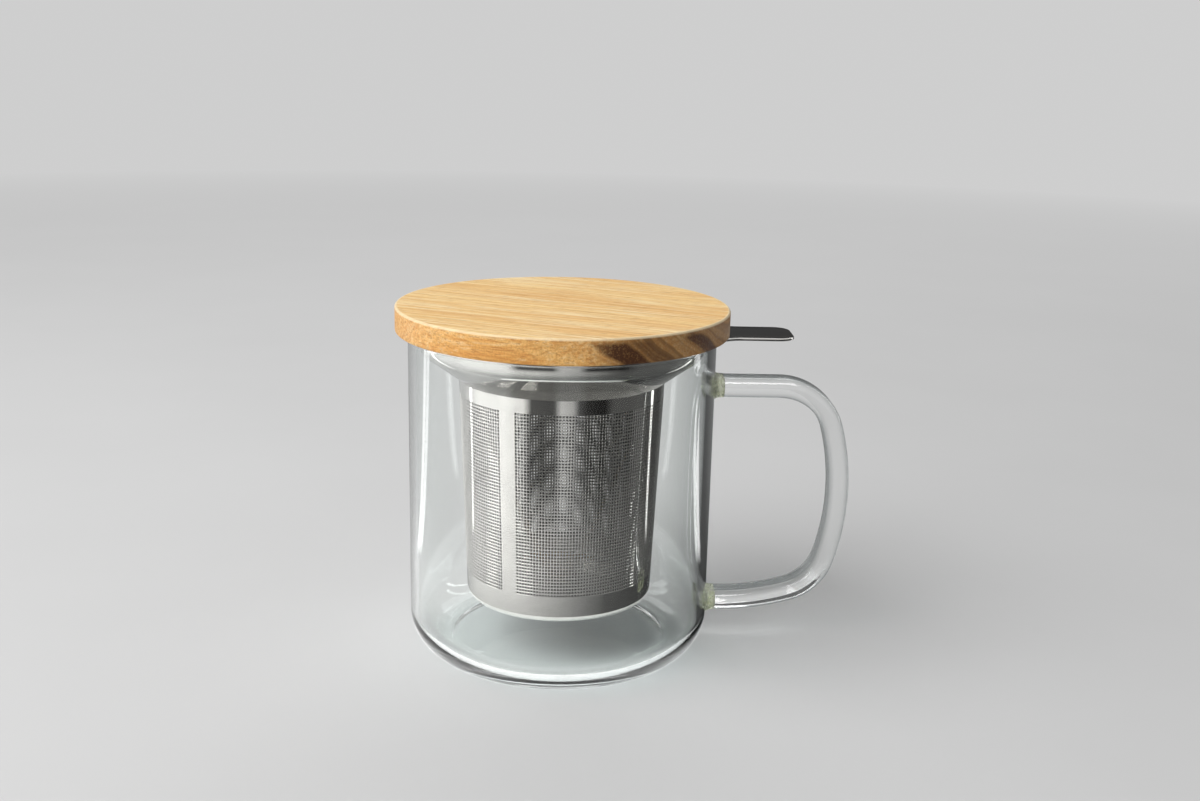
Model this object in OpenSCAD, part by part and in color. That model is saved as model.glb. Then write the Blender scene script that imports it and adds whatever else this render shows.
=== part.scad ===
// Glass tea mug with a lift-out steel infuser and a loose wooden lid.
// Millimetres, +Z up. The origin is the centre of the mug's underside, on its axis.
// The handle and the infuser's lift tab point toward +X.

/* [Mug] */
// outside diameter of the glass body
mug_d = 86; // [70:0.5:105]
// height of the glass body, table to rim
mug_h = 92.5; // [80:0.5:120]
// thickness of the glass wall
mug_wall = 2.2; // [1.6:0.1:3.2]
// thickness of the glass floor
mug_floor = 4.0; // [2.5:0.1:7]
// outside radius of the bottom corner
corner_r = 11.5; // [6:0.5:13]
// inside radius of the bottom corner
floor_corner_r = 8; // [4:0.5:10]
// rounding of the drinking lip's two edges
lip_r = 0.7; // [0.3:0.05:0.75]

/* [Handle] */
// reach of the handle, from the mug's wall to the bar's outer edge
handle_out = 39.8; // [36:0.1:50]
// thickness of the glass bar, seen from the side
bar_t = 5.7; // [4.8:0.1:8]
// width of the glass bar, seen from behind
bar_w = 9.5; // [8.2:0.1:13]
// drop from the rim of the glass to the bar's centre line at the upper joint
handle_drop = 14.6; // [12:0.1:24]
// height of the bar's centre line at the lower joint, give or take 0.5
handle_foot = 13.8; // [12:0.1:18]
// bend radius at the upper corner, on the centre line
bend_top_r = 16; // [12:0.5:20]
// bend radius at the lower corner, on the centre line
bend_low_r = 15.4; // [12:0.1:18]
// length of the fused joint between the wall and the bar
weld_l = 2.6; // [1.6:0.1:4]
// how far the fused joint stands out round the bar
weld_grow = 0.5; // [0.2:0.1:1]

/* [Infuser] */
// how far the rim flange stands out past the glass
flange_out = 1.3; // [0.6:0.1:2.5]
// sheet thickness of the rim and funnel
rim_t = 0.8; // [0.6:0.1:1.2]
// gap between the collar and the inside of the glass
collar_gap = 0.4; // [0.3:0.05:0.8]
// depth of the straight collar below the rim
collar_depth = 3.6; // [3:0.1:6]
// outside diameter of the strainer at its top
strainer_top_d = 58; // [44:0.5:62]
// outside diameter of the strainer at its bottom
strainer_low_d = 53.2; // [40:0.2:56]
// height of the funnel between the collar and the strainer
funnel_h = 8.8; // [6:0.1:12]
// gap between the glass floor and the strainer's underside
floor_gap = 12.4; // [8:0.1:26]
// sheet thickness of the strainer wall and base
strainer_t = 0.6; // [0.5:0.05:0.9]
// radius of the strainer's bottom corner
base_r = 2.2; // [1.6:0.1:3]
// length of the sleeves that join the strainer to the funnel and the base
sleeve_l = 4; // [3:0.1:6]

/* [Lift tab] */
// how far the tab stands out past the rim flange
tab_out = 20; // [16:0.1:30]
// width of the tab
tab_w = 16.4; // [12:0.2:22]
// radius of the tab's outer corners
tab_corner_r = 4.5; // [2:0.1:5.5]
// radius of the sweep from the rim into the tab
tab_sweep_r = 8; // [4:0.5:9]

/* [Lid] */
// how far the wooden lid stands out past the rim flange
lid_out = 2.2; // [1:0.1:5]
// thickness of the wooden lid above the rim
lid_t = 7; // [6:0.1:12]
// radius of the lid's upper edge
lid_top_r = 1.1; // [0.5:0.1:2]
// radius of the lid's lower edge
lid_low_r = 0.5; // [0.3:0.1:0.8]
// depth of the turned step that drops into the collar
plug_depth = 4.2; // [3.6:0.1:5]
// gap between the wooden step and the inside of the collar
plug_gap = 1.5; // [1.2:0.1:2.5]
// thickness of the seal ring in the step's groove
seal_t = 2; // [1.4:0.1:2.2]
// depth of the groove that holds the seal ring
groove_depth = 1.6; // [1:0.1:2.5]
// gap between the seal ring and the inside of the collar
seal_gap = 0.35; // [0.3:0.05:0.6]

/* [Part to show] */
// one named piece, or all of them together

/* [Hidden] */
$fn = 96;
tiny = 0.01;

// mug
mug_r = mug_d / 2;
bore_r = mug_r - mug_wall;

// handle centre line: upper run, upper bend, bowed side, lower bend, lower sweep.
// neighbouring arcs share a tangent, so their centres lie on one line
tilt = [0.96, 0.28];
down_tilt = [0.96, -0.28];
low_tilt = [0.28, -0.96];
bar_start_x = mug_r + weld_l;
side_x = mug_r + handle_out - bar_t / 2;
handle_top_z = mug_h - handle_drop;
sweep_rise = 2.9;
// the two radii that close the loop, in steps of 0.1
bow_r = round(10 * (handle_top_z - handle_foot - 0.72 * bend_top_r - 0.68 * bend_low_r
                    - sweep_rise) / 0.56) / 10;
bow_c = [side_x - bow_r, handle_top_z - bend_top_r - tilt[1] * (bow_r - bend_top_r)];
top_c = bow_c + (bow_r - bend_top_r) * tilt;
low_c = bow_c + (bow_r - bend_low_r) * down_tilt;
sweep_r = floor(10 * (bend_low_r + (low_c[0] - bar_start_x - 0.5) / low_tilt[0])) / 10;
sweep_c = low_c - (sweep_r - bend_low_r) * low_tilt;
handle_low_z = sweep_c[1] - sweep_r;

// infuser
rim_top_z = mug_h + rim_t;
flange_r = mug_r + flange_out;
tab_reach = flange_r + tab_out;
collar_r = bore_r - collar_gap;
collar_low_z = mug_h - collar_depth;
str_top_r = strainer_top_d / 2;
str_low_r = strainer_low_d / 2;
strainer_top_z = collar_low_z - funnel_h;
strainer_low_z = mug_floor + floor_gap;
str_edge_z = strainer_low_z + base_r;
str_taper = (str_top_r - str_low_r) / (strainer_top_z - str_edge_z);

// lid
lid_low_z = rim_top_z;
lid_r = flange_r + lid_out;
collar_bore_r = collar_r - rim_t;
plug_r = collar_bore_r - plug_gap;
groove_r = plug_r - groove_depth;
seal_r = collar_bore_r - seal_gap;
seal_z = lid_low_z - plug_depth + 1;

// ---------- shared shapes ----------

// cross-section of the glass bar: a flat-sided oval, flat sides across the bend
module bar_section(grow = 0) {
    t = bar_t + 2 * grow;
    w = bar_w + 2 * grow;
    flat = max(w - t, 0.2);
    union() {
        translate([0, flat / 2]) circle(d = t);
        translate([0, -flat / 2]) circle(d = t);
        square([t, flat], center = true);
    }
}

// bend of the bar in the XZ plane about a centre, from one direction to another
module bend(c, r, from, to) {
    translate([c[0], 0, c[1]])
        rotate([90, 0, 0])
            intersection() {
                rotate_extrude() translate([r, 0]) bar_section();
                linear_extrude(2 * bar_w, center = true)
                    polygon([[0, 0], 2 * r * from, 2 * r * to]);
            }
}

// level run of the bar, starting at p
module run(p, l, grow = 0) {
    translate([p[0], 0, p[1]])
        rotate([0, 90, 0])
            linear_extrude(l) bar_section(grow);
}

// ---------- the mug ----------

module cup_outline(r, corner, z0, z1) {
    translate([0, z0]) union() {
        square([r - corner, z1 - z0]);
        if (z1 - z0 > corner)
            translate([0, corner]) square([r, z1 - z0 - corner]);
        intersection() {
            translate([r - corner, corner]) circle(r = corner);
            translate([r - corner, 0]) square([corner, corner]);
        }
    }
}

// blown glass body: straight wall, rounded lip, rounded bottom corner, thick floor
module mug_body() {
    color([0.86, 0.92, 0.93, 0.35])
        rotate_extrude()
            union() {
                difference() {
                    cup_outline(mug_r, corner_r, 0, mug_h - lip_r);
                    translate([-tiny, 0])
                        cup_outline(bore_r + tiny, floor_corner_r, mug_floor, mug_h + 1);
                }
                translate([bore_r + lip_r, mug_h - lip_r])
                    square([mug_wall - 2 * lip_r, lip_r]);
                for (x = [bore_r + lip_r, mug_r - lip_r])
                    translate([x, mug_h - lip_r]) circle(r = lip_r);
            }
}

// solid glass bar bent into a loop with a bowed side
module mug_handle() {
    color([0.86, 0.93, 0.92, 0.4])
        union() {
            run([bar_start_x, handle_top_z], top_c[0] - bar_start_x);
            bend(top_c, bend_top_r, tilt, [0, 1]);
            bend(bow_c, bow_r, down_tilt, tilt);
            bend(low_c, bend_low_r, low_tilt, down_tilt);
            bend(sweep_c, sweep_r, [0, -1], low_tilt);
            run([bar_start_x, handle_low_z], sweep_c[0] - bar_start_x);
        }
}

// fused joint that fills the space between the wall and the end of the bar
module fused_joint(z) {
    difference() {
        run([mug_r - 2, z], weld_l + 2, weld_grow);
        cylinder(r = mug_r, h = mug_h);
    }
}

module handle_weld_upper() {
    color([0.78, 0.80, 0.55, 0.8]) fused_joint(handle_top_z);
}

module handle_weld_lower() {
    color([0.78, 0.80, 0.55, 0.8]) fused_joint(handle_low_z);
}

// ---------- the infuser ----------

// outline of the lift tab, seen from above, with swept corners at the rim
module tab_outline() {
    sweep_x = sqrt(pow(flange_r + tab_sweep_r, 2) - pow(tab_w / 2 + tab_sweep_r, 2));
    difference() {
        union() {
            translate([flange_r - 6, -tab_w / 2])
                square([tab_reach - flange_r + 6 - tab_corner_r, tab_w]);
            translate([flange_r - 6, -tab_w / 2 + tab_corner_r])
                square([tab_reach - flange_r + 6, tab_w - 2 * tab_corner_r]);
            for (s = [-1, 1])
                translate([tab_reach - tab_corner_r, s * (tab_w / 2 - tab_corner_r)])
                    circle(r = tab_corner_r);
            for (s = [-1, 1])
                translate([0, s > 0 ? tab_w / 2 - 1 : -tab_w / 2 - tab_sweep_r])
                    translate([flange_r - 8, 0])
                        square([sweep_x - flange_r + 8, tab_sweep_r + 1]);
        }
        for (s = [-1, 1])
            translate([sweep_x, s * (tab_w / 2 + tab_sweep_r)]) circle(r = tab_sweep_r);
    }
}

// pressed rim: flat flange with the tab, straight collar, funnel and lower sleeve
module infuser_rim() {
    cone_dx = collar_r - str_top_r;
    cone_dz = collar_low_z - strainer_top_z;
    // offsets that keep the sheet near its thickness round the two corners of the funnel
    half_a = (90 - atan2(cone_dz, cone_dx)) / 2;
    kink = rim_t * tan(half_a);
    sleeve_r = str_top_r - strainer_t;
    sleeve_low_r = sleeve_r - str_taper * sleeve_l;
    color([0.78, 0.78, 0.79])
        union() {
            rotate_extrude()
                polygon([
                    [flange_r, mug_h], [flange_r, rim_top_z],
                    [collar_r - rim_t, rim_top_z],
                    [collar_r - rim_t, collar_low_z + kink],
                    [sleeve_r - rim_t, strainer_top_z + kink],
                    [sleeve_low_r - rim_t, strainer_top_z - sleeve_l],
                    [sleeve_low_r, strainer_top_z - sleeve_l],
                    [sleeve_r, strainer_top_z],
                    [str_top_r, strainer_top_z],
                    [collar_r, collar_low_z],
                    [collar_r, mug_h]
                ]);
            translate([0, 0, mug_h]) linear_extrude(rim_t)
                difference() {
                    tab_outline();
                    circle(r = flange_r - 1);
                }
        }
}

// rolled strainer wall, slightly tapered, closed by one seam
module infuser_wall() {
    color([0.70, 0.70, 0.71])
        rotate_extrude()
            polygon([
                [str_top_r, strainer_top_z],
                [str_top_r - strainer_t, strainer_top_z],
                [str_low_r - strainer_t, str_edge_z],
                [str_low_r, str_edge_z]
            ]);
}

// pressed strainer base: rounded corner, flat bottom and a sleeve inside the wall
module infuser_base() {
    sleeve_r = str_low_r - strainer_t;
    rise = str_taper * sleeve_l;
    color([0.72, 0.72, 0.73])
        rotate_extrude()
            union() {
                difference() {
                    cup_outline(str_low_r, base_r, strainer_low_z, str_edge_z);
                    translate([-tiny, strainer_low_z + strainer_t])
                        cup_outline(sleeve_r - strainer_t + tiny, base_r - strainer_t, 0, 10);
                }
                polygon([
                    [sleeve_r - strainer_t, str_edge_z],
                    [sleeve_r, str_edge_z],
                    [sleeve_r + rise, str_edge_z + sleeve_l],
                    [sleeve_r + rise - strainer_t, str_edge_z + sleeve_l]
                ]);
            }
}

// ---------- the lid ----------

// turned wooden disc: rounded edges above, stepped plug with a groove below
module lid_board() {
    color([0.72, 0.50, 0.27])
        rotate_extrude()
            difference() {
                union() {
                    translate([0, lid_low_z]) square([lid_r - lid_top_r, lid_t]);
                    translate([0, lid_low_z + lid_low_r])
                        square([lid_r, lid_t - lid_low_r - lid_top_r]);
                    translate([lid_r - lid_top_r, lid_low_z + lid_t - lid_top_r])
                        circle(r = lid_top_r);
                    translate([lid_r - lid_low_r, lid_low_z + lid_low_r]) circle(r = lid_low_r);
                    translate([0, lid_low_z - plug_depth]) square([plug_r, plug_depth + 1]);
                }
                translate([groove_r, seal_z]) square([plug_r, seal_t]);
                translate([-5, lid_low_z - plug_depth - 1]) square([5, lid_t + plug_depth + 2]);
            }
}

// soft ring in the plug's groove, with a rounded outer lip
module lid_seal() {
    color([0.90, 0.90, 0.88])
        rotate_extrude()
            union() {
                translate([groove_r, seal_z])
                    square([seal_r - seal_t / 2 - groove_r, seal_t]);
                translate([seal_r - seal_t / 2, seal_z + seal_t / 2]) circle(d = seal_t);
            }
}

mug_body();
mug_handle();
handle_weld_upper();
handle_weld_lower();
infuser_rim();
infuser_wall();
infuser_base();
lid_board();
lid_seal();
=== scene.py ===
import math

import bmesh
import bpy
from mathutils import Matrix, Vector, noise


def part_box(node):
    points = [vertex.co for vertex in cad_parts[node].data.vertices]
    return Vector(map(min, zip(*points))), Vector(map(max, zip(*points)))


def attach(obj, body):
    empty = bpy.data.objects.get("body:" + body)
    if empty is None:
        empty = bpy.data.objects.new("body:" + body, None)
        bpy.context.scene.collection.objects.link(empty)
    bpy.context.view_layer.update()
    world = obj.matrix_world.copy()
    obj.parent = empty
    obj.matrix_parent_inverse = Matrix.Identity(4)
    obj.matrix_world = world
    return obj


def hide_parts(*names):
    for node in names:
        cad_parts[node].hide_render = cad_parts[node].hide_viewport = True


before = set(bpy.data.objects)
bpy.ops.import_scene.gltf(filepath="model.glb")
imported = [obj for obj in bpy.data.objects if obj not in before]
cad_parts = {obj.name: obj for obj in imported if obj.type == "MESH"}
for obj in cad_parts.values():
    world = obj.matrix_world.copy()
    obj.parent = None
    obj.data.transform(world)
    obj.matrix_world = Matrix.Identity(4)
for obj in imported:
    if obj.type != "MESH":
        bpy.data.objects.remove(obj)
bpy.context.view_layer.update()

# A straight glass tea mug with a glass bar handle, a lift-out steel strainer on a
# flanged funnel with a lift tab, and a loose turned wooden lid. Metres, +Z up,
# origin at the centre of the mug's underside, handle and tab toward +X.

bl_info = {
    "name": "Glass tea mug with strainer",
    "version": (1, 0, 0),
    "blender": (4, 5, 0),
    "location": "View3D > Sidebar > Tea mug",
    "description": "Builds a glass tea mug with a steel strainer and a wooden lid",
    "category": "Add Mesh",
}

# ---------- sizes that the frame gives ----------

GLASS_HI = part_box("mug_body")[1]
BAR_LO, BAR_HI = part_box("mug_handle")
RIM_LO, RIM_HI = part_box("infuser_rim")
WALL_LO, WALL_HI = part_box("infuser_wall")
BASE_LO, BASE_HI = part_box("infuser_base")
LID_LO, LID_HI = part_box("lid_board")
SEAL_LO, SEAL_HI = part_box("lid_seal")

# ---------- sizes that several steps share ----------

MM = 0.001
UP = (0, 0, 1)
ROUND, FINE_ROUND = 144, 192  # steps in a full turn
NEAR = 1e-6  # vertices nearer to each other than this are one
GAP = 0.02 * MM  # between pieces that would else share a surface
BAR_GAP = 0.03 * MM  # from the plane where bar and joint meet to either of them
LOWER_BEND = 73.4 * MM  # radius of the bar's long bend to its lower joint
GROOVE = 36.5 * MM  # radius at the bottom of the lid's groove
GLASS_IOR = 1.47
POLISH_DEPTH = 0.000001  # of the fine lines in the steel
PALE_ROOM = 0.62  # brightness of the room, as the camera sees it


def tidy(value):
    """A frame size to the nearest hundredth of a millimetre."""
    return round(value, 5)


# ---------- shared modelling steps ----------


def open_edges(bm):
    return [e for e in bm.edges if e.is_boundary]


def verts_in(geom):
    return [g for g in geom if isinstance(g, bmesh.types.BMVert)]


def verts_of(loop):
    return {v for e in loop for v in e.verts}


def merge(bm, reach=NEAR):
    """Joins vertices that lie in one place."""
    bmesh.ops.remove_doubles(bm, verts=bm.verts[:], dist=reach)


def round_off(bm, geom, size, steps, affect="VERTICES"):
    """Rounds corners or edges and returns the vertices that this leaves."""
    return bmesh.ops.bevel(
        bm,
        geom=geom,
        offset=size,
        offset_type="OFFSET",
        segments=steps,
        profile=0.5,
        affect=affect,
        material=-1,
    )["verts"]


def outline(bm, corners):
    """A turning profile from (radius, height, rounding, steps) corners."""
    verts = [bm.verts.new((c[0], 0.0, c[1])) for c in corners]
    for pair in zip(verts, verts[1:]):
        bm.edges.new(pair)
    for vert, corner in zip(verts, corners):
        if len(corner) > 2:
            round_off(bm, [vert], corner[2], corner[3])


def turn(bm, steps=ROUND):
    """Turns everything in bm once about the mug's axis and closes the poles."""
    bmesh.ops.spin(
        bm,
        geom=bm.verts[:] + bm.edges[:],
        cent=(0, 0, 0),
        axis=UP,
        dvec=(0, 0, 0),
        angle=math.tau,
        steps=steps,
        use_merge=True,
        use_duplicate=False,
    )
    merge(bm)


def push(bm, loop, move):
    """Extrudes an open loop of edges along move and returns the new loop."""
    grown = bmesh.ops.extrude_edge_only(bm, edges=loop)["geom"]
    verts = set(verts_in(grown))
    bmesh.ops.translate(bm, verts=list(verts), vec=move)
    return [
        g
        for g in grown
        if isinstance(g, bmesh.types.BMEdge) and set(g.verts) <= verts
    ]


def swing(bm, geom, centre, axis, angle, steps):
    """Sweeps vertices or a loop round a centre and returns what it ends on."""
    verts = {v for g in geom if isinstance(g, bmesh.types.BMEdge) for v in g.verts}
    swept = bmesh.ops.spin(
        bm,
        geom=list(geom) + list(verts),
        cent=centre,
        axis=axis,
        dvec=(0, 0, 0),
        angle=angle,
        steps=steps,
        use_merge=False,
        use_duplicate=False,
    )["geom_last"]
    kind = bmesh.types.BMEdge if verts else bmesh.types.BMVert
    return [g for g in swept if isinstance(g, kind)]


def inset(bm, faces, width):
    """Shrinks each face by a width and leaves a frame round it."""
    bmesh.ops.inset_individual(bm, faces=faces, thickness=width, use_even_offset=True)


def fill(bm, edges):
    """Fills the space between level loops of edges."""
    bmesh.ops.triangle_fill(
        bm, use_beauty=True, use_dissolve=False, edges=edges, normal=UP
    )


def cap(bm):
    """Closes each open loop with one face."""
    bmesh.ops.holes_fill(bm, edges=open_edges(bm), sides=0)


def other_face(bm, move):
    """Copies all of a flat sheet to where its other face lies."""
    made = bmesh.ops.duplicate(bm, geom=bm.verts[:] + bm.edges[:] + bm.faces[:])
    bmesh.ops.translate(bm, verts=verts_in(made["geom"]), vec=move)


def take_in(bm, other):
    """Adds another shape to bm and frees it."""
    holder = bpy.data.meshes.new("shape on its way")
    other.to_mesh(holder)
    other.free()
    bm.from_mesh(holder)
    bpy.data.meshes.remove(holder)


def add_piece(bm, name, body, nodes, finish, crease=32):
    """Makes the finished mesh a piece that rides on a body and stands for nodes."""
    merge(bm)
    bmesh.ops.recalc_face_normals(bm, faces=bm.faces[:])
    mesh = bpy.data.meshes.new(name)
    bm.to_mesh(mesh)
    bm.free()
    mesh.materials.append(finish)
    mesh.shade_smooth()
    mesh.set_sharp_from_angle(angle=math.radians(crease))
    piece = bpy.data.objects.new(name, mesh)
    bpy.context.scene.collection.objects.link(piece)
    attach(piece, body)
    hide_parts(*nodes)


# ---------- shared finish steps ----------


def node(tree, kind, inputs=None, **settings):
    """Adds a shader node; an input is a plain value or another node's output."""
    made = tree.nodes.new(kind)
    for key, value in settings.items():
        setattr(made, key, value)
    for key, value in (inputs or {}).items():
        if isinstance(value, bpy.types.NodeSocket):
            tree.links.new(value, made.inputs[key])
        else:
            made.inputs[key].default_value = value
    return made


def new_finish(name):
    """An empty material with its output, and its tree."""
    finish = bpy.data.materials.new(name)
    finish.use_nodes = True
    finish.node_tree.nodes.clear()
    out = node(finish.node_tree, "ShaderNodeOutputMaterial")
    return finish, finish.node_tree, out


def cover(tree, out, inputs):
    """Gives the material one surface shader with these inputs."""
    shader = node(tree, "ShaderNodeBsdfPrincipled", inputs)
    tree.links.new(shader.outputs[0], out.inputs["Surface"])


def place(tree, scale=(1, 1, 1), turn_by=(0, 0, 0)):
    """Object coordinates, turned and then scaled, in metres."""
    where = node(tree, "ShaderNodeTexCoord").outputs["Object"]
    turned = node(
        tree, "ShaderNodeMapping", {"Vector": where, "Rotation": turn_by}
    ).outputs[0]
    return node(
        tree, "ShaderNodeVectorMath", {0: turned, 1: scale}, operation="MULTIPLY"
    ).outputs[0]


def length(tree, vector):
    """How long a vector is."""
    return node(
        tree, "ShaderNodeVectorMath", {0: vector}, operation="LENGTH"
    ).outputs["Value"]


def grit(tree, where, scale, detail=2.0, rough=0.5, twist=0.0):
    """Soft random variation between 0 and 1."""
    return node(
        tree,
        "ShaderNodeTexNoise",
        {
            "Vector": where,
            "Scale": scale,
            "Detail": detail,
            "Roughness": rough,
            "Distortion": twist,
        },
    ).outputs["Fac"]


def spread(tree, value, low, high, to_low, to_high):
    """Maps a value from one range to another, held at both ends."""
    return node(
        tree,
        "ShaderNodeMapRange",
        {0: value, 1: low, 2: high, 3: to_low, 4: to_high},
        clamp=True,
    ).outputs[0]


def sums(tree, operation, first, second=0.0, third=0.0):
    """One step of arithmetic on plain values or outputs."""
    return node(
        tree, "ShaderNodeMath", {0: first, 1: second, 2: third}, operation=operation
    ).outputs[0]


def times(tree, first, *others):
    """The product of plain values or outputs."""
    for other in others:
        first = sums(tree, "MULTIPLY", first, other)
    return first


def off_from(tree, value, middle):
    """How far a value lies from a middle, to either side."""
    return sums(tree, "ABSOLUTE", sums(tree, "SUBTRACT", value, middle))


def pick(tree, share, first, second):
    """Mixes two values, each a plain value or an output."""
    return node(
        tree, "ShaderNodeMix", {0: share, 2: first, 3: second}, data_type="FLOAT"
    ).outputs[0]


def blend_colour(tree, share, first, second, how="MIX"):
    """Mixes two colours, each a plain colour or an output."""
    return node(
        tree,
        "ShaderNodeMix",
        {0: share, 6: first, 7: second},
        data_type="RGBA",
        blend_type=how,
    ).outputs[2]


def bump(tree, height, depth):
    """A surface relief, depth in metres."""
    return node(
        tree, "ShaderNodeBump", {"Height": height, "Distance": depth}
    ).outputs[0]


def colour(r, g, b):
    return (r, g, b, 1.0)


def darker(tint, share):
    """A colour taken down to a share of itself."""
    return colour(*(part * share for part in tint[:3]))


# ---------- finishes ----------


def glass_finish(name, tint, edge_tint_and_shade, wave, smudge):
    """Clear glass with slow waves, faint smudges, and shadows that let light in.

    Seen at a slant, as along an edge, it takes its deeper edge tint: partly a deeper
    tint along the longer path, partly painted shade on the edges.
    """
    finish, tree, out = new_finish(name)
    slow = grit(tree, place(tree, (1, 1, 0.35)), 42, 1.0, 0.4)
    marks = grit(tree, place(tree), 160, 4.0, 0.65, 0.6)
    slant = node(tree, "ShaderNodeLayerWeight", {"Blend": 0.5}).outputs["Facing"]
    shader = node(
        tree,
        "ShaderNodeBsdfPrincipled",
        {
            "Base Color": blend_colour(
                tree, spread(tree, slant, 0.05, 0.60, 0, 1), tint, edge_tint_and_shade
            ),
            "Roughness": spread(tree, marks, 0.52, 0.78, 0.0, smudge),
            "IOR": GLASS_IOR,
            "Transmission Weight": 1.0,
            "Normal": bump(tree, slow, wave),
        },
    )
    clear = node(tree, "ShaderNodeBsdfTransparent", {"Color": colour(0.93, 0.95, 0.95)})
    lamp_ray = node(tree, "ShaderNodeLightPath").outputs["Is Shadow Ray"]
    mixed = node(
        tree,
        "ShaderNodeMixShader",
        {0: lamp_ray, 1: shader.outputs[0], 2: clear.outputs[0]},
    )
    tree.links.new(mixed.outputs[0], out.inputs["Surface"])
    return finish


def weld_finish(name, tint):
    """Frosted, faintly green glass where the bar is fused on."""
    finish, tree, out = new_finish(name)
    where = place(tree)
    grain = grit(tree, where, 900, 3.0, 0.6, 0.4)
    cloud = grit(tree, where, 420, 2.0, 0.5)
    pale = blend_colour(
        tree, spread(tree, cloud, 0.35, 0.7, 0, 1), tint, colour(0.92, 0.93, 0.84)
    )
    dark = blend_colour(
        tree, spread(tree, grain, 0.52, 0.72, 0, 0.7), pale, colour(0.30, 0.36, 0.14)
    )
    cover(
        tree,
        out,
        {
            "Base Color": dark,
            "Roughness": spread(tree, grain, 0.3, 0.7, 0.06, 0.38),
            "IOR": GLASS_IOR,
            "Transmission Weight": 0.82,
            "Normal": bump(tree, grain, 0.0004),
        },
    )
    return finish


def steel_finish(name, tint, low, high, lines, bores=False):
    """Steel with fine rubbed lines, soft smudges and small shade changes.

    low and high are its roughness, and lines gives how closely the rubbing repeats
    along each axis. With bores, the etched holes and the inner face of the strainer
    wall are dull, and painted dark as shade inside the holes.
    """
    finish, tree, out = new_finish(name)
    rubbed = grit(tree, place(tree, lines), 1.0, 1.0, 0.5)
    smears = grit(tree, place(tree), 70, 3.0, 0.6, 0.5)
    flecks = grit(tree, place(tree), 2600, 1.0, 0.5)
    shade = blend_colour(
        tree, spread(tree, smears, 0.3, 0.75, 0.0, 1.0), tint, darker(tint, 0.86)
    )
    gloss = sums(
        tree,
        "ADD",
        spread(tree, smears, 0.3, 0.75, low, high),
        spread(tree, flecks, 0.3, 0.7, -0.01, 0.01),
    )
    if bores:
        # how far below the tapered outer face a point lies
        from_axis = length(tree, place(tree, (1, 1, 0)))
        up = node(tree, "ShaderNodeSeparateXYZ", {0: place(tree)}).outputs[2]
        taper = wall_radius(1) - wall_radius(0)
        outer = sums(tree, "MULTIPLY_ADD", up, taper, wall_radius(0))
        depth = sums(tree, "SUBTRACT", outer, from_axis)
        # dull steel in the bores and on the inner face, painted near black: partly the
        # etched finish, partly painted shade inside the holes
        dull_and_shaded = spread(tree, depth, 0.00010, 0.00014, 0, 1)
        shade = blend_colour(tree, dull_and_shaded, shade, colour(0.13, 0.125, 0.115))
        gloss = pick(tree, dull_and_shaded, gloss, 0.36)
    cover(
        tree,
        out,
        {
            "Base Color": shade,
            "Metallic": 1.0,
            "Roughness": gloss,
            "Normal": bump(tree, rubbed, POLISH_DEPTH),
        },
    )
    return finish


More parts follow.
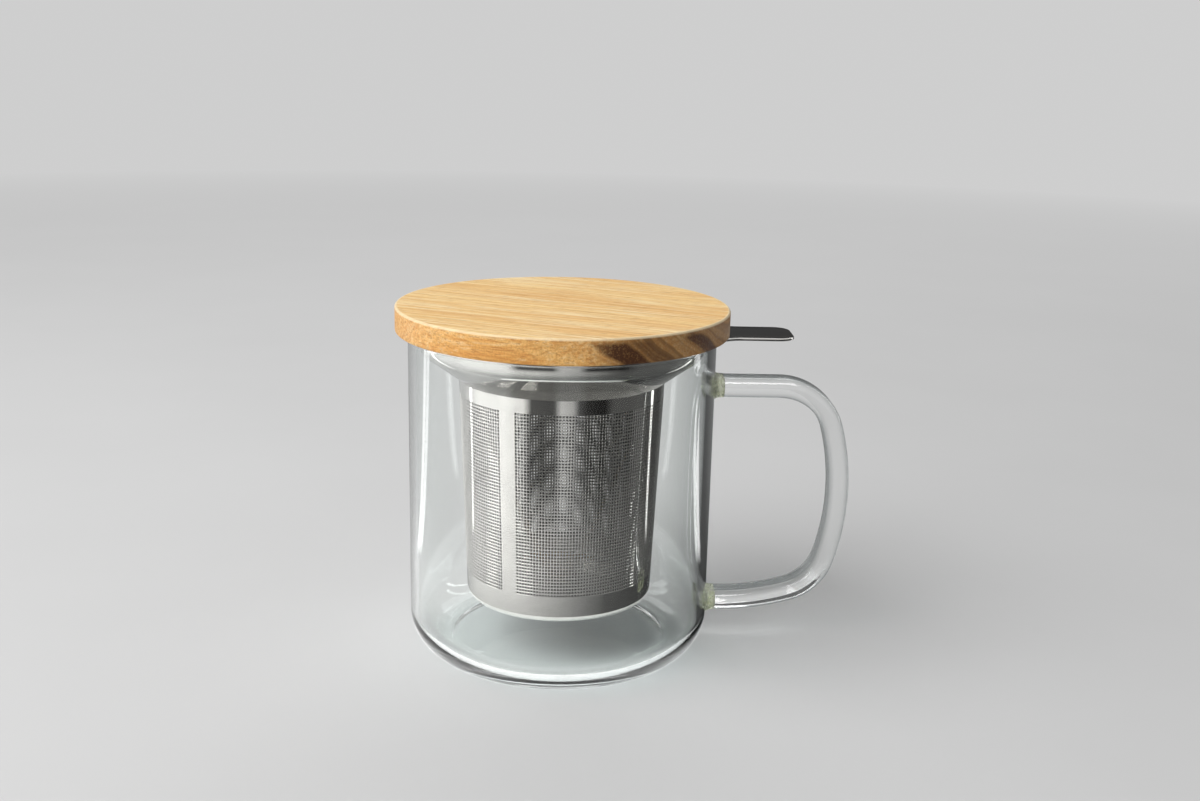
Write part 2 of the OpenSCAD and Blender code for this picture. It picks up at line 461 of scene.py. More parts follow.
def wood_finish(name, light, mid, dark):
    """Solid oiled wood: long grain, end-grain pores and dark growth rings."""
    finish, tree, out = new_finish(name)
    # the grain runs from left-back to right-front
    grain_turn = (0, 0, math.radians(24))
    along, across, up = node(
        tree, "ShaderNodeSeparateXYZ", {0: place(tree, turn_by=grain_turn)}
    ).outputs

    def streaks(long, wide, detail=2.0, rough=0.5, twist=0.0):
        """Variation stretched along the grain, from its two sizes in metres."""
        where = place(tree, (1 / long, 1 / wide, 1 / wide), grain_turn)
        return grit(tree, where, 1.0, detail, rough, twist)

    # growth rings about the log's heart, which lies above the lid and behind it
    wander = streaks(0.070, 0.020)
    from_heart = node(
        tree,
        "ShaderNodeCombineXYZ",
        {1: sums(tree, "ADD", across, -0.0076), 2: sums(tree, "ADD", up, -0.135)},
    ).outputs[0]
    ring = sums(
        tree,
        "ADD",
        length(tree, from_heart),
        sums(tree, "MULTIPLY_ADD", wander, 0.008, -0.004),
    )
    ring_place = node(
        tree, "ShaderNodeCombineXYZ", {0: ring, 1: times(tree, along, 0.03)}
    ).outputs[0]
    rings = grit(tree, ring_place, 620, 2.0, 0.6)
    ages = grit(tree, ring_place, 170, 2.0, 0.5)
    clouds = streaks(0.050, 0.014)
    fibres = streaks(0.024, 0.0010, 3.0, 0.65, 0.1)
    hairs = streaks(0.030, 0.00075, 2.0, 0.6)
    pores = streaks(0.0034, 0.00042, 1.0)
    specks = grit(tree, place(tree), 2100, 2.0, 0.55)
    # the turned side shows end grain: deeper in colour, and speckled
    from_axis = length(tree, place(tree, (1, 1, 0)))
    side = spread(tree, from_axis, 0.0459, 0.0464, 0, 1)
    brown = colour(0.36, 0.155, 0.040)

    tone = light
    for pattern, low, high, most, tint in (
        (ages, 0.36, 0.64, 1, mid),
        (clouds, 0.52, 0.72, 0.75, colour(0.96, 0.76, 0.42)),
        (rings, 0.50, 0.66, 0.55, mid),
        (rings, 0.40, 0.30, 0.55, colour(0.97, 0.78, 0.44)),
        (hairs, 0.50, 0.64, 0.65, colour(0.72, 0.37, 0.115)),
        (hairs, 0.46, 0.34, 0.65, colour(0.98, 0.82, 0.52)),
        (fibres, 0.50, 0.74, 0.4, brown),
        (pores, 0.58, 0.68, 0.35, brown),
    ):
        share = spread(tree, pattern, low, high, 0, most)
        tone = blend_colour(tree, share, tone, tint)
    deeper = colour(0.92, 0.74, 0.55)
    tone = blend_colour(tree, times(tree, side, 0.85), tone, deeper, "MULTIPLY")
    speckled = times(tree, side, spread(tree, specks, 0.42, 0.68, 0, 0.42))
    tone = blend_colour(tree, speckled, tone, colour(0.46, 0.20, 0.05))

    def band(middle, half, share):
        """A ring of dark wood at a distance from the heart."""
        off = off_from(tree, ring, middle)
        return spread(tree, off, half + 0.0005, half - 0.0003, 0, share)

    # dark heartwood shows in slanting bands low on the side, at the right front
    heartwood = sums(
        tree,
        "MAXIMUM",
        sums(tree, "MAXIMUM", band(0.0568, 0.0017, 1.0), band(0.0530, 0.0015, 0.5)),
        band(0.0436, 0.0015, 0.95),
    )
    low_down = spread(tree, up, 0.0995, 0.0985, 0, 1)
    to_front = spread(tree, along, 0.020, 0.030, 0, 1)
    # darker wood on the side toward the right front: partly the wood's own deeper
    # colour, partly painted shade on the side turned away from the lamp
    old_wood_and_shade = times(
        tree,
        side,
        spread(tree, along, 0.024, 0.034, 0, 1),
        spread(tree, rings, 0.36, 0.60, 0.50, 0.92),
    )
    tone = blend_colour(tree, old_wood_and_shade, tone, colour(0.16, 0.078, 0.026))
    broken = times(tree, heartwood, spread(tree, specks, 0.36, 0.50, 0.70, 0.97))
    bands = times(tree, low_down, to_front, broken)
    tone = blend_colour(tree, bands, tone, dark)
    # painted highlight: the rounded upper edge is painted pale where it catches the
    # light
    rim_highlight = times(
        tree,
        spread(tree, from_axis, 0.0457, 0.0460, 0, 0.55),
        spread(tree, up, 0.0996, 0.0999, 0, 1),
    )
    tone = blend_colour(tree, rim_highlight, tone, colour(0.97, 0.84, 0.56))
    relief = sums(
        tree,
        "ADD",
        times(tree, fibres, -0.5),
        spread(tree, pores, 0.58, 0.68, 0, -1),
    )
    cover(
        tree,
        out,
        {
            "Base Color": tone,
            "Roughness": spread(tree, fibres, 0.3, 0.7, 0.38, 0.54),
            "Specular IOR Level": 0.28,
            "Normal": bump(tree, relief, 0.00005),
        },
    )
    return finish


def silicone_finish(name, tint):
    """Milky soft silicone with a fine moulded surface."""
    finish, tree, out = new_finish(name)
    fine = grit(tree, place(tree), 1800, 2.0, 0.5)
    cloud = grit(tree, place(tree), 60, 2.0, 0.5)
    cover(
        tree,
        out,
        {
            "Base Color": blend_colour(
                tree, spread(tree, cloud, 0.3, 0.7, 0, 1), tint, darker(tint, 0.93)
            ),
            "Roughness": spread(tree, fine, 0.3, 0.7, 0.42, 0.58),
            "Normal": bump(tree, fine, 0.00003),
        },
    )
    return finish


def mirror_depth(tree):
    """Three switches: what steel and glass mirror once, again, and deep inside."""
    bounces = node(tree, "ShaderNodeLightPath").outputs["Glossy Depth"]
    once = sums(tree, "COMPARE", bounces, 1.0, 0.5)
    again = sums(tree, "GREATER_THAN", bounces, 1.5)
    deep = sums(tree, "GREATER_THAN", bounces, 2.5)
    return once, again, deep


def table_finish(name, tint, far):
    """Plain pale table that fades into the room.

    Bright and dark cards are painted into it that only the steel and the glass mirror:
    painted reflections.
    """
    finish, tree, out = new_finish(name)
    here = place(tree)
    mottle = grit(tree, here, 9, 3.0, 0.5)
    pale = blend_colour(
        tree, spread(tree, mottle, 0.3, 0.7, 0, 1), tint, darker(tint, 0.975)
    )
    distance = length(tree, here)
    heading = node(
        tree, "ShaderNodeVectorMath", {0: here}, operation="NORMALIZE"
    ).outputs[0]
    to_right, to_back, _ = node(tree, "ShaderNodeSeparateXYZ", {0: heading}).outputs
    # painted reflection: a bright card at the left that darkens to the right, near the
    # mug, and behind it
    painted_cards = times(
        tree,
        spread(tree, to_right, -0.9, 0.75, 1.65, 0.16),
        spread(tree, distance, 0.055, 0.095, 0.60, 1.0),
        spread(tree, to_back, 0.2, 0.7, 1.0, 0.5),
    )
    # painted highlight: the table under the glass floor is painted bright for rays
    # mirrored once, which draws a bright line on the strainer's lower corner
    under_glint = spread(tree, distance, 0.046, 0.052, 1.8, 0.0)
    painted_cards = sums(tree, "MAXIMUM", painted_cards, under_glint)
    # painted reflection: a narrow bright card at the back of each side draws the glints
    # of bar and wall
    narrow = times(
        tree,
        spread(tree, off_from(tree, to_back, 0.42), 0.02, 0.05, 5.0, 0.0),
        spread(tree, distance, 0.10, 0.12, 0.0, 1.0),
    )
    painted_cards = sums(tree, "MAXIMUM", painted_cards, narrow)
    # painted reflection: two dark cards at the front
    panels = off_from(tree, off_from(tree, to_right, 0.10), 0.42)
    painted_dark_cards = times(
        tree,
        spread(tree, panels, 0.32, 0.20, 0, 0.9),
        spread(tree, distance, 0.12, 0.17, 0, 1),
        spread(tree, to_back, -0.1, -0.3, 0, 1),
    )
    painted_cards = times(tree, painted_cards, sums(tree, "SUBTRACT", 1.0, painted_dark_cards))
    once, again, deep = mirror_depth(tree)
    # after two mirror bounces the table is painted darker near the mug, and darker
    # still after three: painted shade seen deep inside the glass and the strainer
    share = pick(
        tree,
        again,
        pick(tree, once, 1.0, painted_cards),
        spread(tree, distance, 0.09, 0.16, 0.45, 0.9),
    )
    share = pick(tree, deep, share, 0.30)
    grey = node(tree, "ShaderNodeCombineXYZ", {0: share, 1: share, 2: share})
    shown = blend_colour(tree, 1.0, pale, grey.outputs[0], "MULTIPLY")
    near = node(tree, "ShaderNodeBsdfDiffuse", {"Color": shown})
    away = node(tree, "ShaderNodeEmission", {"Color": far, "Strength": share})
    mixed = node(
        tree,
        "ShaderNodeMixShader",
        {
            0: spread(tree, distance, 0.35, 1.5, 0, 1),
            1: near.outputs[0],
            2: away.outputs[0],
        },
    )
    tree.links.new(mixed.outputs[0], out.inputs["Surface"])
    return finish


# ---------- what a user would change ----------

COLOUR = {"subtype": "COLOR", "size": 4, "min": 0, "max": 1}


class TeaMugSizes(bpy.types.PropertyGroup):
    glass_radius: bpy.props.FloatProperty(
        name="Glass radius",
        description="Outside radius of the glass body",
        default=tidy(GLASS_HI.x),
        unit="LENGTH",
    )
    glass_wall: bpy.props.FloatProperty(
        name="Glass wall",
        description="Thickness of the glass wall",
        default=0.0022,
        unit="LENGTH",
    )
    glass_floor: bpy.props.FloatProperty(
        name="Glass floor",
        description="Thickness of the glass floor",
        default=0.0040,
        unit="LENGTH",
    )
    bar_thickness: bpy.props.FloatProperty(
        name="Bar thickness",
        description="Thickness of the handle's glass bar, seen from the side",
        default=0.0057,
        unit="LENGTH",
    )
    bar_width: bpy.props.FloatProperty(
        name="Bar width",
        description="Width of the handle's glass bar, seen from behind",
        default=0.0095,
        unit="LENGTH",
    )
    tab_width: bpy.props.FloatProperty(
        name="Tab width",
        description="Width of the strainer's lift tab",
        default=0.0164,
        unit="LENGTH",
    )
    hole_size: bpy.props.FloatProperty(
        name="Hole size",
        description="Side of one strainer hole at the outer face",
        default=0.00059,
        unit="LENGTH",
    )
    hole_dish: bpy.props.FloatProperty(
        name="Hole dish",
        description="How much the etching slopes each hole's edge inward",
        default=0.00006,
        unit="LENGTH",
    )
    hole_columns: bpy.props.IntProperty(
        name="Hole columns",
        description="Columns of holes in each half of the strainer wall",
        default=102,
        min=20,
        max=130,
    )
    hole_rows: bpy.props.IntProperty(
        name="Hole rows",
        description="Rows of holes in the strainer wall",
        default=56,
        min=10,
        max=60,
    )
    lid_edge: bpy.props.FloatProperty(
        name="Lid edge",
        description="Rounding of the wooden lid's upper edge",
        default=0.0006,
        unit="LENGTH",
    )


class TeaMugFinishes(bpy.types.PropertyGroup):
    wood_light: bpy.props.FloatVectorProperty(
        name="Light wood",
        description="Colour of the wood between its rings",
        default=(0.95, 0.67, 0.285, 1.0),
        **COLOUR,
    )
    wood_mid: bpy.props.FloatVectorProperty(
        name="Ring wood",
        description="Colour of the wood in its rings",
        default=(0.83, 0.50, 0.172, 1.0),
        **COLOUR,
    )
    wood_dark: bpy.props.FloatVectorProperty(
        name="Dark wood",
        description="Colour of the dark bands on the lid's side",
        default=(0.065, 0.021, 0.006, 1.0),
        **COLOUR,
    )
    steel: bpy.props.FloatVectorProperty(
        name="Steel",
        description="Colour of the bare steel",
        default=(0.70, 0.685, 0.655, 1.0),
        **COLOUR,
    )
    weld: bpy.props.FloatVectorProperty(
        name="Fused glass",
        description="Colour of the fused joints",
        default=(0.80, 0.86, 0.58, 1.0),
        **COLOUR,
    )
    glass: bpy.props.FloatVectorProperty(
        name="Glass",
        description="Tint of the clear glass",
        default=(0.985, 0.992, 0.988, 1.0),
        **COLOUR,
    )


def sizes():
    return bpy.context.scene.tea_mug_sizes


def finishes():
    return bpy.context.scene.tea_mug_finishes


# ---------- the mug ----------


class TEAMUG_OT_glass_body(bpy.types.Operator):
    """Turn the glass body: lip, wall, bottom corner, thick floor and foot ring"""

    bl_idname = "teamug.glass_body"
    bl_label = "Glass body"

    def execute(self, context):
        s = sizes()
        r, top = s.glass_radius, GLASS_HI.z
        bore, floor = r - s.glass_wall, s.glass_floor
        lip, below_lip = 0.75 * MM, top - 1.5 * MM
        bm = bmesh.new()
        # from the pushed-up underside round the foot, up the outside, and down the bore
        outline(
            bm,
            [
                (0.0, 0.9 * MM),
                (r - 13.4 * MM, 0.5 * MM, 1.2 * MM, 3),
                (r - 11.6 * MM, 0.0),
                (r, 0.0, 11.5 * MM, 24),
                (r, 12.5 * MM),
                (r, below_lip),
                (r, top, lip, 8),
                (bore, top, lip, 8),
                (bore, below_lip),
                (bore, floor + 9 * MM),
                (bore, floor, 8 * MM, 18),
                (bore - 8.6 * MM, floor),
                (0.0, floor + 0.5 * MM),
            ],
        )
        turn(bm, FINE_ROUND)
        add_piece(
            bm,
            "glass_body",
            "mug",
            ["mug_body"],
            glass_finish(
                "blown clear glass",
                finishes().glass,
                # edge tint: partly painted shade along the wall's edges
                colour(0.80, 0.83, 0.82),
                0.00006,
                0.05,
            ),
            crease=60,
        )
        return {"FINISHED"}


def bar_top():
    """Height of the bar's middle line at the upper joint."""
    return BAR_HI.z - sizes().bar_thickness / 2


def bar_path():
    """Centres, turns and steps of the bar's bends, from the upper joint down."""
    upper, lower, bow = 16.0 * MM, 15.4 * MM, 70.0 * MM
    side = BAR_HI.x - sizes().bar_thickness / 2
    # where the bowed side meets the corner bends, it leans by this much
    cos_lean, sin_lean = 0.96, 0.28
    lean = math.atan2(sin_lean, cos_lean)
    bow_c = Vector((side - bow, 0, bar_top() - upper - sin_lean * (bow - upper)))
    top_c = bow_c + (bow - upper) * Vector((cos_lean, 0, sin_lean))
    low_c = bow_c + (bow - lower) * Vector((cos_lean, 0, -sin_lean))
    last_c = low_c - (LOWER_BEND - lower) * Vector((sin_lean, 0, -cos_lean))
    quarter = math.pi / 2
    return [
        (top_c, quarter - lean, 14),
        (bow_c, 2 * lean, 16),
        (low_c, quarter - 2 * lean, 12),
        (last_c, lean, 8),
    ]


def bar_loop(bm, x, z, grow=0.0):
    """A rounded cross-section of the bar, standing across X."""
    s = sizes()
    thick, wide = s.bar_thickness + 2 * grow, s.bar_width + 2 * grow
    stand = Matrix.Translation((x, 0, z)) @ Matrix.Rotation(math.pi / 2, 4, "Y")
    square = Matrix.Rotation(math.pi / 4, 4, "Z")
    shape = Matrix.Diagonal((thick, wide, 1, 1))
    made = bmesh.ops.create_circle(
        bm,
        cap_ends=False,
        segments=4,
        radius=math.sqrt(0.5),
        matrix=stand @ shape @ square,
    )["verts"]
    rounded = round_off(bm, made, min(2.55 * MM, thick * 0.46), 9)
    verts = set(rounded) | {v for v in made if v.is_valid}
    return [e for e in bm.edges if e.verts[0] in verts and e.verts[1] in verts]


class TEAMUG_OT_glass_handle(bpy.types.Operator):
    """Sweep the solid glass bar round its bends, from joint to joint"""

    bl_idname = "teamug.glass_handle"
    bl_label = "Glass handle"

    def execute(self, context):
        path = bar_path()
        start = BAR_LO.x + BAR_GAP
        bm = bmesh.new()
        loop = bar_loop(bm, start, bar_top())
        run = path[0][0].x - start
        for share in (0.15, 0.35, 0.5):
            loop = push(bm, loop, (run * share, 0, 0))
        for centre, angle, steps in path:
            loop = swing(bm, loop, centre, (0, 1, 0), angle, steps)
        push(bm, loop, (start - path[-1][0].x, 0, 0))
        cap(bm)
        add_piece(
            bm,
            "glass_handle",
            "mug",
            ["mug_handle"],
            glass_finish(
                "solid clear glass",
                finishes().glass,
                # a deep edge tint: partly painted shade along the bar's edges, leaving
                # a bright core
                colour(0.30, 0.33, 0.33),
                0.00009,
                0.04,
            ),
            crease=60,
        )
        return {"FINISHED"}


class TEAMUG_OT_fused_joints(bpy.types.Operator):
    """Build the two frosted joints between the wall and the bar's ends"""

    bl_idname = "teamug.fused_joints"
    bl_label = "Fused joints"

    def execute(self, context):
        wall = sizes().glass_radius + GAP
        start = BAR_LO.x - BAR_GAP
        finish = weld_finish("fused frosted glass", finishes().weld)
        lower = bar_path()[-1][0].z - LOWER_BEND
        for name, label, height in (
            ("handle_weld_upper", "fused_joint_upper", bar_top()),
            ("handle_weld_lower", "fused_joint_lower", lower),
        ):
            bm = bmesh.new()
            loop = bar_loop(bm, start, height, 0.05 * MM)
            reach = BAR_LO.x - wall
            for share, grow in ((0.2, 1.0), (0.3, 1.02), (0.3, 1.05), (0.2, 1.08)):
                loop = push(bm, loop, (-reach * share, 0, 0))
                bmesh.ops.scale(
                    bm,
                    verts=list(verts_of(loop)),
                    vec=(1, grow, grow),
                    space=Matrix.Translation((0, 0, -height)),
                )
            # the last ring lies on the round wall
            for v in verts_of(loop):
                v.co.x = math.sqrt(wall**2 - v.co.y**2)
            cap(bm)
            merge(bm)
            # a little unevenness left by the flame
            for v in bm.verts:
                if wall + 0.3 * MM < v.co.x < BAR_LO.x - 0.3 * MM:
                    bulge = noise.noise(v.co * 900) * 0.12 * MM
                    side = Vector((0, v.co.y, v.co.z - height)).normalized()
                    v.co += side * bulge
            add_piece(bm, label, "mug", [name], finish, crease=50)
        return {"FINISHED"}


# ---------- the strainer ----------


class TEAMUG_OT_strainer_rim(bpy.types.Operator):
    """Build the pressed rim: flange with lift tab, collar, funnel and sleeve"""

    bl_idname = "teamug.strainer_rim"
    bl_label = "Strainer rim"

    def execute(self, context):
        s = sizes()
        top, sheet = RIM_HI.z, 0.8 * MM
        low = top - sheet
        edge_r = tidy(-RIM_LO.x)
        clearance, collar_depth = 0.4 * MM, 3.6 * MM
        collar = s.glass_radius - s.glass_wall - clearance
        inside = collar - sheet
        join = collar + 0.7 * MM
        strainer, sleeve_end = tidy(WALL_HI.x), RIM_LO.z
        joint_z = WALL_HI.z
        bend_z = GLASS_HI.z - collar_depth
        sleeve = strainer - 0.6 * MM
        # the sheet's upper face bends this much higher than its lower one, and the
        # sleeve draws in this much toward its end
        rise, draw = 0.27 * MM, 0.15 * MM
        bm = bmesh.new()
        outline(
            bm,
            [
                (join, top),
                (inside, top, 1.1 * MM, 6),
                (inside, bend_z + rise, 2.3 * MM, 8),
                (sleeve - sheet, joint_z + rise, 0.9 * MM, 5),
                (sleeve - sheet - draw, sleeve_end),
                (sleeve - draw, sleeve_end),
                (sleeve, joint_z),
                (strainer - GAP, joint_z, 0.1 * MM, 2),
                (collar, bend_z, 2.9 * MM, 9),
                (collar, low, 0.3 * MM, 3),
                (join, low),
            ],
        )
        turn(bm, FINE_ROUND)
        rings = open_edges(bm)
        # half of the flange's outer edge and tab, then its mirror image
        plate = bmesh.new()
        half = s.tab_width / 2
        fillet, corner, reach = 8 * MM, 4.5 * MM, tidy(RIM_HI.x)
        fillet_x = math.sqrt((edge_r + fillet) ** 2 - (half + fillet) ** 2)
        fillet_c = (fillet_x, half + fillet, 0)
        lean = math.atan2(half + fillet, fillet_x)
        first = [plate.verts.new((-edge_r, 0, top))]
        last = swing(plate, first, (0, 0, 0), UP, lean - math.pi, 88)
        last = swing(plate, last, fillet_c, UP, math.pi / 2 - lean, 14)
        for goal in (Vector((reach - corner, half, top)), Vector((reach, 0, top))):
            grown = bmesh.ops.extrude_vert_indiv(plate, verts=last)["verts"]
            grown[0].co = goal
            last = grown
            if goal.y > 0:
                centre = (reach - corner, half - corner, 0)
                last = swing(plate, last, centre, UP, -math.pi / 2, 10)
        bmesh.ops.mirror(
            plate,
            geom=plate.verts[:] + plate.edges[:],
            matrix=Matrix.Identity(4),
            merge_dist=NEAR,
            axis="Y",
        )
        merge(plate)
        push(plate, plate.edges[:], (0, 0, low - top))
        before = set(bm.edges)
        take_in(bm, plate)
        sides = [e for e in open_edges(bm) if e not in before]
        for z in (top, low):
            level = [
                e
                for e in rings + sides
                if all(abs(v.co.z - z) < 0.01 * MM for v in e.verts)
            ]
            fill(bm, level)
        bmesh.ops.recalc_face_normals(bm, faces=bm.faces[:])
        round_off(bm, sides, 0.22 * MM, 3, "EDGES")
        add_piece(
            bm,
            "strainer_rim",
            "infuser",
            ["infuser_rim"],
            steel_finish(
                "polished pressed steel", finishes().steel, 0.05, 0.10, (180, 180, 900)
            ),
        )
        return {"FINISHED"}


def wall_radius(z):
    """Outside radius of the tapered strainer wall at a height."""
    share = (z - WALL_LO.z) / (WALL_HI.z - WALL_LO.z)
    low = tidy(BASE_HI.x)
    return low + (tidy(WALL_HI.x) - low) * share


class TEAMUG_OT_strainer_wall(bpy.types.Operator):
    """Etch, roll and taper the strainer wall, in two halves that meet at the seam"""

    bl_idname = "teamug.strainer_wall"
    bl_label = "Strainer wall"

    def execute(self, context):
        s = sizes()
        cols, rows = s.hole_columns, s.hole_rows
        hole, dish = s.hole_size, s.hole_dish
        sheet, dish_depth = 0.45 * MM, 0.07 * MM
        mean_r = 27.8 * MM
        # the seam's place round the wall, and half the width of its plain strip
        seam_at, seam_half = math.radians(240), 0.080
        strip = seam_half * mean_r
        step_x = (math.pi - seam_half) * mean_r / cols
        first_row, last_row = 24.5 * MM, 75.7 * MM
        step_z = (last_row - first_row) / (rows - 1)
        field_lo, field_hi = first_row - step_z / 2, last_row + step_z / 2
        finish = steel_finish(
            "etched strainer steel", finishes().steel, 0.05, 0.09, (650, 650, 22), True
        )
        for name, side in (("strainer_wall_right", 1), ("strainer_wall_left", -1)):
            bm = bmesh.new()
            bmesh.ops.create_grid(bm, x_segments=cols, y_segments=rows, size=0.5)
            width, height = step_x * cols, step_z * rows
            for v in bm.verts:
                v.co.x = strip + (v.co.x + 0.5) * width
                v.co.y = field_lo + (v.co.y + 0.5) * height
            # plain bands above, below and beside the holes
            for level, goal in ((field_hi, WALL_HI.z), (field_lo, WALL_LO.z)):
                band = [
                    e
                    for e in bm.edges
                    if all(abs(v.co.y - level) < NEAR for v in e.verts)
                ]
                for _ in range(2):
                    band = push(bm, band, (0, (goal - level) / 2, 0))
            band = [
                e for e in bm.edges if all(abs(v.co.x - strip) < NEAR for v in e.verts)
            ]
            for _ in range(3):
                band = push(bm, band, (-strip / 3, 0, 0))

            def cells(depth):
                """The squares of one face of the sheet that become holes."""
                return [
                    f
                    for f in bm.faces
                    if abs(f.calc_center_median().z + depth) < NEAR
                    and f.calc_center_median().x > strip
                    and field_lo < f.calc_center_median().y < field_hi
                ]

            # the sheet's inner face, and one side round all its edges
            edge = open_edges(bm)
            other_face(bm, (0, 0, -sheet))
            push(bm, edge, (0, 0, -sheet))
            merge(bm)
            front, back = cells(0.0), cells(sheet)
            inset(bm, front, (step_x - hole) / 2)
            inset(bm, front, dish)
            sunk = list({v for f in front for v in f.verts})
            bmesh.ops.translate(bm, verts=sunk, vec=(0, 0, -dish_depth))
            inset(bm, back, (step_x - hole) / 2 + dish)
            bores = list({e for f in front for e in f.edges})
            bmesh.ops.delete(bm, geom=front + back, context="FACES_ONLY")
            push(bm, bores, (0, 0, dish_depth - sheet))
            merge(bm)
            # roll the flat sheet up to its taper
            for v in bm.verts:
                turned = seam_at + side * v.co.x / mean_r
                r = wall_radius(v.co.y) + v.co.z
                v.co = (r * math.cos(turned), r * math.sin(turned), v.co.y)
            add_piece(
                bm, name, "infuser", ["infuser_wall"], finish
            )
        return {"FINISHED"}


class TEAMUG_OT_strainer_base(bpy.types.Operator):
    """Press the strainer base: rounded corner, sleeve and a round field of holes"""

    bl_idname = "teamug.strainer_base"
    bl_label = "Strainer base"

    def execute(self, context):
        low, sheet, sleeve_sheet = BASE_LO.z, 0.6 * MM, 0.5 * MM
        outer, edge_z = tidy(BASE_HI.x), WALL_LO.z - GAP
        sleeve = outer - sheet
        sleeve_end = sleeve + 0.1 * MM
        field_r, holes_r = 21.8 * MM, 20.4 * MM
        pitch, hole = 0.98 * MM, sizes().hole_size * 0.9
        bm = bmesh.new()
        cells_across = 2 * round(holes_r / pitch)
        level = Matrix.Translation((0, 0, low))
        bmesh.ops.create_grid(
            bm,
            x_segments=cells_across,
            y_segments=cells_across,
            size=pitch * cells_across / 2,
            matrix=level,
        )
        far = [f for f in bm.faces if math.hypot(*f.calc_center_median().xy) > holes_r]
        bmesh.ops.delete(bm, geom=far, context="FACES")
        cells = bm.faces[:]
        inset(bm, cells, (pitch - hole) / 2)
        bmesh.ops.delete(bm, geom=cells, context="FACES_ONLY")
        # a hole's side is short, and a side of the stepped outer edge is a whole pitch
        holes = [e for e in open_edges(bm) if e.calc_length() < pitch * 0.7]
        ragged = [e for e in open_edges(bm) if e.calc_length() >= pitch * 0.7]
        ring = bmesh.ops.create_circle(
            bm, cap_ends=False, segments=ROUND, radius=field_r, matrix=level
        )["verts"]
        circle = list({e for v in ring for e in v.link_edges})
        fill(bm, ragged + circle)
        other_face(bm, (0, 0, sheet))
        push(bm, holes, (0, 0, sheet))
        merge(bm)
        cup = bmesh.new()
        outline(
            cup,
            [
                (field_r, low),
                (outer, low, 2.2 * MM, 10),
                (outer, low + 2.6 * MM),
                (outer, edge_z, 0.08 * MM, 2),
                (sleeve - GAP, edge_z),
                (sleeve_end, BASE_HI.z),
                (sleeve_end - sleeve_sheet, BASE_HI.z),
                (sleeve - sleeve_sheet, low + sheet, 1.7 * MM, 8),
                (field_r, low + sheet),
            ],
        )
        turn(cup)
        take_in(bm, cup)
        merge(bm, 5 * NEAR)
        add_piece(
            bm,
            "strainer_base",
            "infuser",
            ["infuser_base"],
            steel_finish(
                "pressed base steel", finishes().steel, 0.05, 0.09, (650, 650, 22)
            ),
        )
        return {"FINISHED"}


# ---------- the lid ----------


class TEAMUG_OT_lid_board(bpy.types.Operator):
    """Turn the wooden lid: rounded disc, stepped plug and groove"""

    bl_idname = "teamug.lid_board"
    bl_label = "Wooden lid"

    def execute(self, context):
        r, low, top = tidy(LID_HI.x), RIM_HI.z, LID_HI.z
        plug, plug_z = 38.1 * MM, LID_LO.z
        groove_lo, groove_hi = SEAL_LO.z, SEAL_HI.z
        edge = sizes().lid_edge
        beside_edge = edge + 0.3 * MM
        bm = bmesh.new()
        outline(
            bm,
            [
                (0.0, plug_z),
                (20 * MM, plug_z),
                (plug, plug_z, 0.5 * MM, 4),
                (plug, groove_lo, 0.12 * MM, 2),
                (GROOVE, groove_lo),
                (GROOVE, groove_hi),
                (plug, groove_hi, 0.12 * MM, 2),
                (plug, low, 0.25 * MM, 2),
                (r, low, 0.55 * MM, 5),
                (r, low + 0.9 * MM),
                (r, top - beside_edge),
                (r, top, edge, 7),
                (r - beside_edge, top),
                (20 * MM, top),
                (0.0, top),
            ],
        )
        turn(bm, FINE_ROUND)
        f = finishes()
        add_piece(
            bm,
            "lid_disc",
            "lid",
            ["lid_board"],
            wood_finish("oiled solid wood", f.wood_light, f.wood_mid, f.wood_dark),
        )
        return {"FINISHED"}


class TEAMUG_OT_lid_seal(bpy.types.Operator):
    """Turn the soft ring in the lid's groove"""

    bl_idname = "teamug.lid_seal"
    bl_label = "Lid seal"

    def execute(self, context):
        outer, low, top = tidy(SEAL_HI.x), SEAL_LO.z, SEAL_HI.z
        shoulder, bulge = outer - 0.9 * MM, 0.2 * MM
        bm = bmesh.new()
        outline(
            bm,
            [
                (GROOVE, low),
                (shoulder, low, 0.2 * MM, 3),
                (outer, low + bulge, 0.5 * MM, 5),
                (outer, top - bulge, 0.5 * MM, 5),
                (shoulder, top, 0.2 * MM, 3),
                (GROOVE, top),
                (GROOVE, (low + top) / 2),
                (GROOVE, low),
            ],
        )
        turn(bm)
        add_piece(
            bm,
            "seal_ring",
            "lid",
            ["lid_seal"],
            silicone_finish("milky silicone", colour(0.80, 0.80, 0.77)),
        )
        return {"FINISHED"}


# ---------- the stage ----------


def add_lamp(name, place_at, aim, size, power, glint_only=False, on=()):
    """A soft lamp that faces a point, or one that is only seen in glass and steel.

    With on it shines on the named pieces and on nothing else.
    """
    lamp = bpy.data.lights.new(name, "AREA")
    lamp.shape = "RECTANGLE"
    lamp.size, lamp.size_y = size
    lamp.energy = power
    holder = bpy.data.objects.new(name, lamp)
    holder.visible_diffuse = not glint_only
    holder.location = place_at
    facing = Vector(aim) - Vector(place_at)
    holder.rotation_euler = facing.to_track_quat("-Z", "Y").to_euler()
    bpy.context.scene.collection.objects.link(holder)
    if on:
        lit = bpy.data.collections.new(name + " shines on")
        for piece in on:
            lit.objects.link(bpy.data.objects[piece])
        holder.light_linking.receiver_collection = lit


